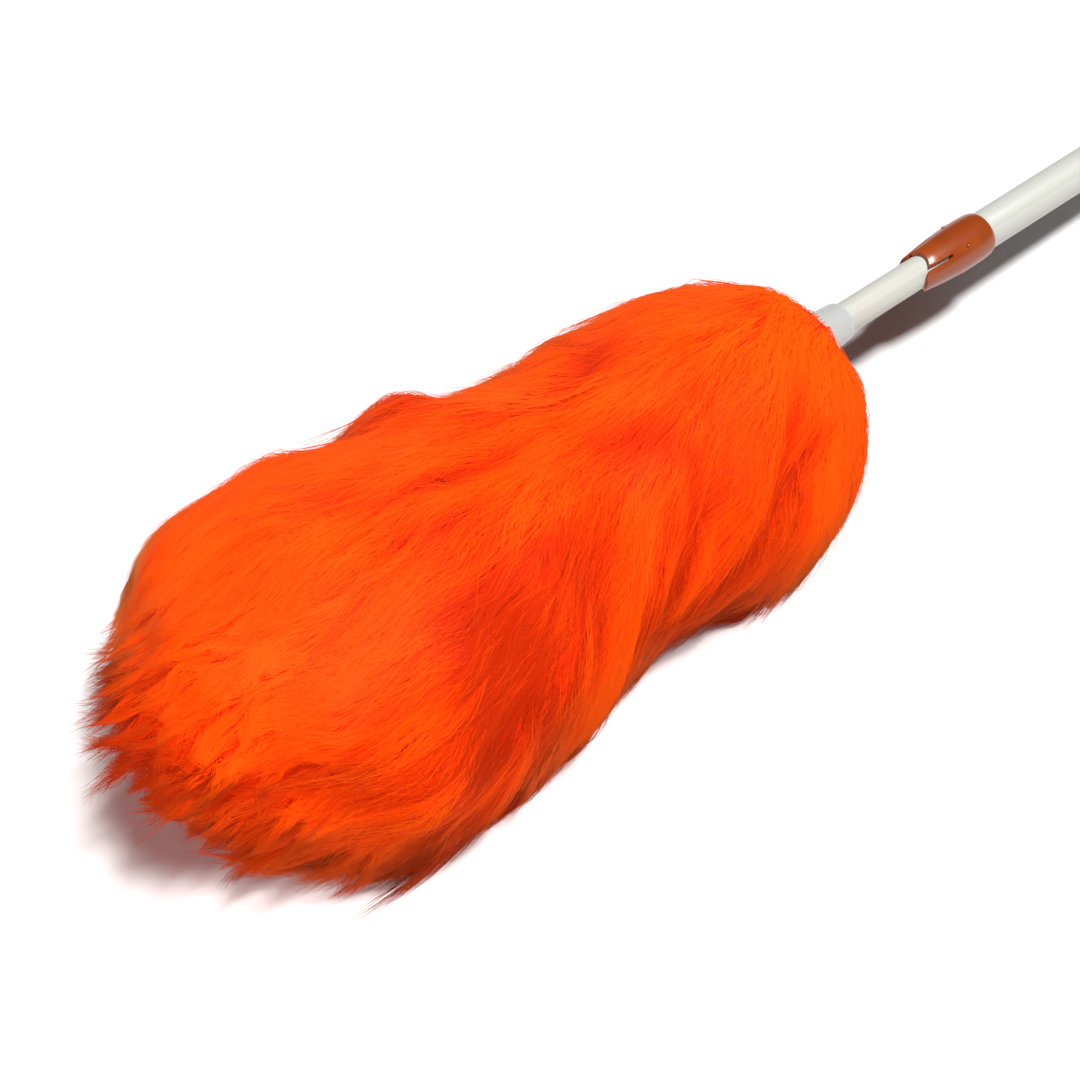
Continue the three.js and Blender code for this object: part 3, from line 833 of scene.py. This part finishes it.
def profile(value, places):
    """A smooth curve through places from 0 to 1, read at a value."""
    made = follow("ShaderNodeFloatCurve", {"Value": value})
    curve = made.mapping.curves[0]
    for x, y in places[1:-1]:
        curve.points.new(x, y)
    curve.points[0].location = places[0]
    curve.points[-1].location = places[-1]
    made.mapping.update()
    return Field(made.outputs[0])


def scattered(skin, density, seed):
    made = follow("GeometryNodeDistributePointsOnFaces", {"Mesh": skin, "Density": density, "Seed": seed})
    return made.outputs[0]


def gathering(tree, skin, density, seed):
    """Middles of locks scattered over the skin: the nearest one's number, and the way to it over the skin."""
    place = named_vector(tree, FLEECE_MAP)
    middles = scattered(skin, density, seed)
    nearest = follow("GeometryNodeSampleNearest", {
        "Geometry": middles, "Sample Position": position_of(tree)}).outputs[0]
    there = follow("GeometryNodeSampleIndex", {0: middles, 1: place, 2: nearest}, data_type="FLOAT_VECTOR")
    u, v, _ = separate(place)
    there_u, there_v, _ = separate(there.outputs[0])
    return nearest, combine(there_u - u, calc("WRAP", there_v - v, 0.5, -0.5))


def on_skin(tree, skin, value, spot, kind="FLOAT_VECTOR"):
    """A value of the skin at another spot on it."""
    place = named_vector(tree, FLEECE_MAP)
    made = follow("GeometryNodeSampleUVSurface", {0: skin, 1: value, 2: place, 3: spot}, data_type=kind)
    return made.outputs[0]


def fibre_bearing(tree, fleece, swath, index):
    """Heading on the skin: tipward along the ridge, down both sides, wandering from swath to swath."""
    u, v, _ = separate(named_vector(tree, FLEECE_MAP))
    wander = noise_field(position_of(tree), 11.0, 2.0)
    downhill = calc("SINE", v * math.tau)
    return (profile(u, FALL) * downhill * fleece.droop + (wander - 0.5) * WANDER
            + random_value(-SWATH_TURN, SWATH_TURN, swath, 2)
            + random_value(-FIBRE_TURN, FIBRE_TURN, index, 3))


def fibre_length(fleece, u, end, tier, lock, swath, index):
    """Length with its spread: some locks stand out as points at the head's end, and the tier is short."""
    spiky = random_value(0.0, 1.0, lock, 23) ** 4.0 * 0.95 - 0.28
    length = profile(u, LENGTHS) * fleece.length
    for identity, low, high, seed in ((swath, 0.85, 1.15, 12), (lock, 0.8, 1.2, 13), (index, 0.7, 1.1, 1)):
        length = length * random_value(low, high, identity, seed)
    return length * (spiky * end + 1.0) * (1.0 - tier * TIER_CUT)


def fibre_tone_and_shade(tree, u, up, end, tip_rise, stray, lock, swath, index):
    """Tone of a fibre, with painted light and shade: lighter where it stands high, darker low on the flanks
    and paler at the shoulder, besides its random tone.
    """
    broad = noise_field(position_of(tree), 14.0, 1.0)
    # Painted shade: darker underneath, where the flanks face the floor, except at the head's end
    under = mapped(up, -0.3, 0.45, 0.5, 0.0, soft=True)
    belly_shade = mapped(up, -0.85, -0.45, soft=True)
    # Painted sheen: paler at the shoulder near the socket
    shoulder_sheen = mapped(u, 0.03, 0.2, 0.25, 0.0, soft=True)
    # Painted light and shade: lighter where the fibre's tip or the skin stands high, darker in the hollows
    height = tip_rise * 70.0 + named(tree, "relief") * 75.0
    return (height + random_value(0.12, 0.52, index, 8) + (broad - 0.5) + stray * 0.5
            - under * belly_shade * (1.0 - end) + shoulder_sheen
            + random_value(0.0, 0.12, lock, 16) + random_value(0.0, 0.12, swath, 17))


def fibre_points(tree, fleece, given):
    """Points of the fibres, still at their roots, with the lock and the wider swath of each."""
    skin, index = given["Geometry"], index_of(tree)
    u, _, _ = separate(named_vector(tree, FLEECE_MAP))
    _, _, up = separate(named_vector(tree, "outward"))
    lock, to_lock = gathering(tree, skin, LOCK_DENSITY, LOCK_SEED)
    swath, to_swath = gathering(tree, skin, SWATH_DENSITY, SWATH_SEED)
    end = mapped(u, 0.58, 0.84, soft=True)
    low = mapped(up, 0.35, -0.1, soft=True)
    tier = low * profile(u, TIER)
    stray = calc("LESS_THAN", random_value(0.0, 1.0, index, 21), STRAY_SHARE)
    tip_rise = (random_value(-SWATH_RISE, SWATH_RISE, swath, 14) + TIP_LIFT
                + random_value(-LOCK_RISE, LOCK_RISE, lock, 9)
                + stray * random_value(0.0005, 0.003, index, 22))
    hanging = low * profile(u, HANGING) * (random_value(0.0, 1.0, lock, 25) ** 2.0 * 0.6 + 0.08)
    hanging = calc("MAXIMUM", hanging, tier * TIER_HANG)
    roots = scattered(skin, given["Density"], given["Seed"])
    roots = keep(roots, {"fibre": index}, "INT")
    roots = keep(roots, {
        "to_lock": scaled(to_lock, end * TIP_CLUMP + fleece.clump),
        "to_swath": scaled(to_swath, SWATH_PULL),
    }, "FLOAT_VECTOR")
    roots = keep(roots, {
        "tip_rise": tip_rise,
        "bearing": fibre_bearing(tree, fleece, swath, index),
        "fibre_length": fibre_length(fleece, u, end, tier, lock, swath, index),
        "leaving": calc("MAXIMUM", profile(u, LEAVING), hanging),
        "onward": end,
        "phase": random_value(0.0, 1.0, lock, 4) + random_value(0.0, 0.25, index, 24),
        "tone": fibre_tone_and_shade(tree, u, up, end, tip_rise, stray, lock, swath, index),
        "waviness": stray * 0.004 + 0.0034,
        "girth_here": 1.0 - stray * 0.4,
    })
    copies = follow("GeometryNodeDuplicateElements", {"Geometry": roots, "Amount": FIBRE_POINTS},
                    domain="POINT")
    number = Field(copies.outputs["Duplicate Index"])
    return keep(copies.outputs[0], {"share": number / (FIBRE_POINTS - 1.0)})


def fibre_way(tree):
    """Way of a point along its fibre, lengthwise and round the head, and its pull to lock and swath."""
    share, bearing = named(tree, "share"), named(tree, "bearing")
    travel = named(tree, "fibre_length") * share
    ahead = calc("COSINE", bearing)
    across = calc("SINE", bearing) * -1.0
    swing = calc("SINE", (share * WAVES + named(tree, "phase")) * math.tau)
    sway = swing * share * named(tree, "waviness")
    pull = vector_sum(named_vector(tree, "to_lock"), named_vector(tree, "to_swath"))
    on_u = ahead * travel - sway * across
    on_v = across * travel + sway * ahead
    return travel, on_u, on_v, scaled(pull, share ** 1.3)


def loose_place(tree, depth, travel, on_u, on_v, gather):
    """Place on a fibre that leaves the skin: straight on past the head's end, fanning out and sagging."""
    along, out = named_vector(tree, "along"), named_vector(tree, "outward")
    onward = normalized(vector_sum(scaled(out, TIP_FAN), -ALONG))
    pull_u, pull_v, _ = separate(gather)
    return vector_sum(
        position_of(tree), scaled(out, -depth),
        mixed_vector(named(tree, "onward"), scaled(along, on_u), scaled(onward, travel)),
        scaled(named_vector(tree, "around"), on_v + pull_v * named(tree, "girth")),
        scaled(along, pull_u * named(tree, "reach")),
        combine(0.0, 0.0, travel * travel * -SAG))


def laid_points(tree, fleece, skin, points):
    """The fibres' points laid over the skin, or past it where fibres leave it, and never under the floor."""
    share, depth = named(tree, "share"), fleece.undercoat_depth + SKIN_DEPTH
    travel, on_u, on_v, gather = fibre_way(tree)
    way = vector_sum(gather, combine(on_u / named(tree, "reach"), on_v / named(tree, "girth")))
    spot_u, spot_v, _ = separate(vector_sum(named_vector(tree, FLEECE_MAP), way))
    held_u = follow("ShaderNodeClamp", {0: spot_u, 1: 0.003, 2: 0.997}).outputs[0]
    spot = combine(held_u, calc("FRACT", spot_v))
    out = on_skin(tree, skin, named_vector(tree, "outward"), spot)
    rising = 1.0 - (1.0 - share) ** 2.0
    rise = (named(tree, "tip_rise") + depth) * rising - depth
    combed = vector_sum(on_skin(tree, skin, position_of(tree), spot), scaled(out, rise))
    leaving = named(tree, "leaving")
    freed = leaving * share ** (1.0 - leaving)
    loose = loose_place(tree, depth, travel, on_u, on_v, gather)
    x, y, z = separate(mixed_vector(freed, combed, loose))
    # Painted shade: fibres in the partings get a darker tone
    parted = Field(on_skin(tree, skin, named(tree, "furrow"), spot, "FLOAT"))
    points = keep(points, {"tone": named(tree, "tone") - parted * PARTING_PAINTED_SHADE})
    points = keep(points, {"facing": vector_sum(out, UPWARD)}, "FLOAT_VECTOR")
    landed = combine(x, y, calc("MAXIMUM", z, FIBRE_FLOOR))
    return follow("GeometryNodeSetPosition", {"Geometry": points, "Position": landed}).outputs[0]


def fibre_strands(tree, fleece, wool, points):
    """Fibres as thin three-sided strands, shaded softly like the fleece they lie on."""
    share = named(tree, "share")
    curves = follow("GeometryNodePointsToCurves", {
        0: points, 1: named(tree, "fibre", "INT"), 2: share}).outputs[0]
    thickness = fleece.thickness * 1.0
    taper = (1.0 - share ** 1.6 * 0.9) * thickness * named(tree, "girth_here")
    section = add_node(tree, "GeometryNodeCurvePrimitiveCircle", {
        "Resolution": FIBRE_SIDES, "Radius": 1.0}).outputs[0]
    section = keep(section, {"flank": index_of(tree) / float(FIBRE_SIDES)})
    strands = follow("GeometryNodeCurveToMesh", {
        "Curve": curves, "Profile Curve": section, "Scale": taper, "Fill Caps": True}).outputs[0]
    column = mapped(named(tree, "tone"), 0.0, 1.0, 0.02, 0.92) + named(tree, "flank") * FLANK_SHADE
    strands = keep(strands, {FIBRE_MAP: combine(column, share)}, "FLOAT2", "CORNER")
    own_normal = add_node(tree, "GeometryNodeInputNormal").outputs[0]
    facing = mixed_vector(fleece.softness, own_normal, named_vector(tree, "facing"))
    shaded = follow("GeometryNodeSetMeshNormal", {"Mesh": strands}, mode="FREE", domain="POINT")
    tune(shaded, {"Custom Normal": normalized(facing)})
    whole = follow("GeometryNodeRealizeInstances", {0: shaded.outputs[0]}).outputs[0]
    dyed = follow("GeometryNodeSetMaterial", {"Geometry": whole, "Material": wool})
    return dyed.outputs[0]


def fibre_tree(fleece, wool):
    """Geometry nodes that comb fibres over the fleece skin.

    Each fibre starts under the skin, follows it towards the tip and the floor, is drawn into the nearest
    lock and swath, and leaves the skin near the head's end and along its lower edge.
    """
    tree = bpy.data.node_groups.new("Combed fibres", "GeometryNodeTree")
    tree.is_modifier = True
    for label, kind in (("Geometry", "Geometry"), ("Density", "Float"), ("Seed", "Int")):
        tree.interface.new_socket(label, in_out="INPUT", socket_type="NodeSocket" + kind)
    tree.interface.new_socket("Geometry", in_out="OUTPUT", socket_type="NodeSocketGeometry")
    given = tree.nodes.new("NodeGroupInput").outputs
    points = fibre_points(tree, fleece, given)
    points = laid_points(tree, fleece, given["Geometry"], points)
    tune(tree.nodes.new("NodeGroupOutput"), {0: fibre_strands(tree, fleece, wool, points)})
    return tree


def grown(name, skin, tree, wool, values):
    """A plain mesh piece of the fibres that a tree grows on a skin."""
    piece = bpy.data.objects.new(name, skin.copy())
    bpy.context.scene.collection.objects.link(piece)
    modifier = piece.modifiers.new("Fibres", "NODES")
    modifier.node_group = tree
    sockets = {item.name: item.identifier for item in tree.interface.items_tree if item.in_out == "INPUT"}
    for label, value in values.items():
        modifier[sockets[label]] = value
    bake_modifiers(piece)
    piece.data.materials.clear()
    piece.data.materials.append(wool)
    for attribute in [a.name for a in piece.data.attributes if a.name in FIBRE_NOTES]:
        piece.data.attributes.remove(piece.data.attributes[attribute])
    return piece


# One operator for each group of pieces


class DUSTER_OT_fleece(Operator):
    """Builds the undercoat and combs the wool over it"""
    bl_idname = "duster.fleece"
    bl_label = "Fleece"

    def execute(self, context):
        fleece = context.scene.duster_fleece
        rows = fleece_grid()
        undercoat = link_object("wool_undercoat", undercoat_mesh(rows, fleece.undercoat_depth),
                                wool_undercoat(fleece))
        undercoat.data.shade_smooth()
        skin = fleece_skin(rows, SKIN_DEPTH, SKIN_TIP_SINK)
        area = sum(face.area for face in skin.polygons)
        share = 1.0
        wool = wool_fibre(fleece)
        tree = fibre_tree(fleece, wool)
        pieces = [undercoat]
        for coat in range(COATS):
            pieces.append(grown(f"wool_coat_{coat + 1}", skin, tree, wool, {
                "Density": share * fleece.fibres / area / COATS,
                "Seed": FIRST_SEED + coat,
            }))
        bpy.data.meshes.remove(skin)
        for piece in pieces:
            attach(piece, HEAD)
        for coat in pieces[1 + SHADED_COATS:]:
            coat.visible_shadow = False
        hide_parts("wool_fleece")
        return {"FINISHED"}


class DUSTER_OT_tubes(Operator):
    """Finishes the two ivory tubes"""
    bl_idname = "duster.tubes"
    bl_label = "Tubes"

    def execute(self, context):
        pole = context.scene.duster_pole
        ivory = ivory_plastic(pole)
        finished_copy("outer_tube", ivory, HANDLE, pole.edge_round)
        finished_copy("inner_tube", ivory, HEAD, pole.edge_round)
        return {"FINISHED"}


class DUSTER_OT_collar(Operator):
    """Finishes the split guide collar and its pins"""
    bl_idname = "duster.collar"
    bl_label = "Guide collar"

    def execute(self, context):
        pole = context.scene.duster_pole
        terracotta = terracotta_plastic(pole)
        finished_copy("guide_collar", terracotta, HANDLE, pole.edge_round)
        for number in range(1, 5):
            finished_copy(f"collar_pin_{number}", terracotta, HANDLE)
        return {"FINISHED"}


class DUSTER_OT_grip(Operator):
    """Finishes the hand grip, the end cap and its pin"""
    bl_idname = "duster.grip"
    bl_label = "Hand grip"

    def execute(self, context):
        pole = context.scene.duster_pole
        satin = terracotta_plastic(pole, "grip_plastic", 0.48)
        finished_copy("hand_grip", satin, HANDLE, pole.edge_round)
        finished_copy("end_cap", satin, HANDLE, pole.edge_round)
        finished_copy("end_cap_pin", zinc_steel(), HANDLE)
        return {"FINISHED"}


class DUSTER_OT_socket(Operator):
    """Finishes the milky head socket"""
    bl_idname = "duster.socket"
    bl_label = "Head socket"

    def execute(self, context):
        pole = context.scene.duster_pole
        finished_copy("head_socket", milky_plastic(pole), HEAD, pole.edge_round)
        return {"FINISHED"}


class DUSTER_OT_core(Operator):
    """Finishes what is inside the head: core, hide, pins and tacks"""
    bl_idname = "duster.core"
    bl_label = "Core and hide"

    def execute(self, context):
        steel = zinc_steel()
        hide = pale_hide()
        finished_copy("core_rod", bare_wood(), HEAD)
        finished_copy("hide_strip", hide, HEAD)
        finished_copy("tip_patch", hide, HEAD)
        for node in ("socket_tube_pin", "socket_core_pin", "strip_tack_1", "strip_tack_2", "tip_tack"):
            finished_copy(node, steel, HEAD)
        return {"FINISHED"}


class DUSTER_OT_lock(Operator):
    """Finishes the twist lock inside the outer tube"""
    bl_idname = "duster.lock"
    bl_label = "Twist lock"

    def execute(self, context):
        steel = zinc_steel()
        nylon = dark_plastic()
        finished_copy("lock_plug", nylon, HEAD)
        finished_copy("lock_ring", nylon, LOCK)
        for node in ("lock_plug_pin", "lock_washer", "lock_screw"):
            finished_copy(node, steel, HEAD)
        return {"FINISHED"}


FLOOR_HALF = 12.0
SENSOR_WIDTH = 36.0
KEY_DIRECTION = Vector((0.14, -0.28, 0.94))
FILL_DIRECTION = Vector((-0.85, -0.2, 0.6))
FILL_SIZE = 1.4
LAMP_DISTANCE = 2.4


def pale_floor(stage):
    """Matt floor with a faint unevenness."""
    material, tree, shader = new_material("pale_floor")
    speck = noise_field(object_place(tree), 3.0, 3.0)
    colour = Vector(stage.floor_colour)
    tune(shader, {
        "Base Color": colour_ramp(speck, [(0.3, colour * 0.985), (0.7, colour)]),
        "Roughness": 0.9,
        "Specular IOR Level": 0.1,
    })
    return material


class DUSTER_OT_stage(Operator):
    """Lays the floor, sets the lights and places the camera"""
    bl_idname = "duster.stage"
    bl_label = "Stage"

    def execute(self, context):
        stage, scene = context.scene.duster_stage, context.scene
        scene.view_settings.view_transform = "Standard"
        mesh = bpy.data.meshes.new("floor")
        quarters = ((-1, -1), (1, -1), (1, 1), (-1, 1))
        mesh.from_pydata([(x * FLOOR_HALF, y * FLOOR_HALF, 0) for x, y in quarters], [], [(0, 1, 2, 3)])
        link_object("floor", mesh, pale_floor(stage))
        scene.camera = self.camera(scene, stage)
        key = bpy.data.lights.new("key", "SUN")
        key.energy = stage.key_strength
        key.angle = stage.key_softness
        self.lamp(scene, key, KEY_DIRECTION)
        fill = bpy.data.lights.new("fill", "AREA")
        fill.shape = "DISK"
        fill.size = FILL_SIZE
        fill.energy = stage.fill_power
        self.lamp(scene, fill, FILL_DIRECTION)
        scene.world = self.studio(stage)
        return {"FINISHED"}

    def camera(self, scene, stage):
        back = Vector((math.sin(stage.azimuth) * math.cos(stage.elevation),
                       -math.cos(stage.azimuth) * math.cos(stage.elevation), math.sin(stage.elevation)))
        right = Vector((math.cos(stage.azimuth), math.sin(stage.azimuth), 0))
        aim = pole_point(stage.aim_station) - back.cross(right) * stage.aim_drop
        lens = bpy.data.cameras.new("camera")
        lens.sensor_width = SENSOR_WIDTH
        lens.lens = stage.lens
        camera = bpy.data.objects.new("camera", lens)
        camera.location = aim + back * stage.distance
        camera.rotation_euler = (-back).to_track_quat("-Z", "Y").to_euler()
        scene.collection.objects.link(camera)
        return camera

    def lamp(self, scene, light, direction):
        """Places a light over the middle of the head, in a direction from it."""
        lamp = bpy.data.objects.new(light.name, light)
        lamp.location = pole_point((WOOL_ROOT + WOOL_TIP) / 2) + direction.normalized() * LAMP_DISTANCE
        lamp.rotation_euler = direction.to_track_quat("Z", "Y").to_euler()
        scene.collection.objects.link(lamp)

    def studio(self, stage):
        """A white world that the camera sees in full and the object only weakly."""
        world = bpy.data.worlds.new("studio")
        world.use_nodes = True
        tree = world.node_tree
        seen = add_node(tree, "ShaderNodeLightPath").outputs["Is Camera Ray"]
        tune(tree.nodes["Background"], {
            "Color": (1.0, 1.0, 1.0, 1.0),
            "Strength": mapped(seen, 0.0, 1.0, stage.sky, 1.0),
        })
        return world


class DUSTER_PT_panel(Panel):
    """Sidebar panel with the duster's pieces in the order they are made"""
    bl_idname = "DUSTER_PT_panel"
    bl_label = "Duster"
    bl_space_type = "VIEW_3D"
    bl_region_type = "UI"
    bl_category = "Duster"

    def draw(self, context):
        for group in SETTINGS:
            settings, box = getattr(context.scene, group), self.layout.box()
            for name in settings.__annotations__:
                box.prop(settings, name)
        for operator in PIECES:
            self.layout.operator(operator.bl_idname)


PIECES = (DUSTER_OT_stage, DUSTER_OT_tubes, DUSTER_OT_collar, DUSTER_OT_grip, DUSTER_OT_socket,
          DUSTER_OT_core, DUSTER_OT_lock, DUSTER_OT_fleece)
SETTINGS = {"duster_fleece": DusterFleece, "duster_pole": DusterPole, "duster_stage": DusterStage}
CLASSES = (*SETTINGS.values(), *PIECES, DUSTER_PT_panel)


def register():
    for cls in CLASSES:
        bpy.utils.register_class(cls)
    for name, group in SETTINGS.items():
        setattr(bpy.types.Scene, name, PointerProperty(type=group))


def unregister():
    for name in SETTINGS:
        delattr(bpy.types.Scene, name)
    for cls in reversed(CLASSES):
        bpy.utils.unregister_class(cls)


def main():
    register()
    bpy.ops.duster.stage()
    bpy.ops.duster.tubes()
    bpy.ops.duster.collar()
    bpy.ops.duster.grip()
    bpy.ops.duster.socket()
    bpy.ops.duster.core()
    bpy.ops.duster.lock()
    bpy.ops.duster.fleece()


if __name__ == "__main__":
    main()
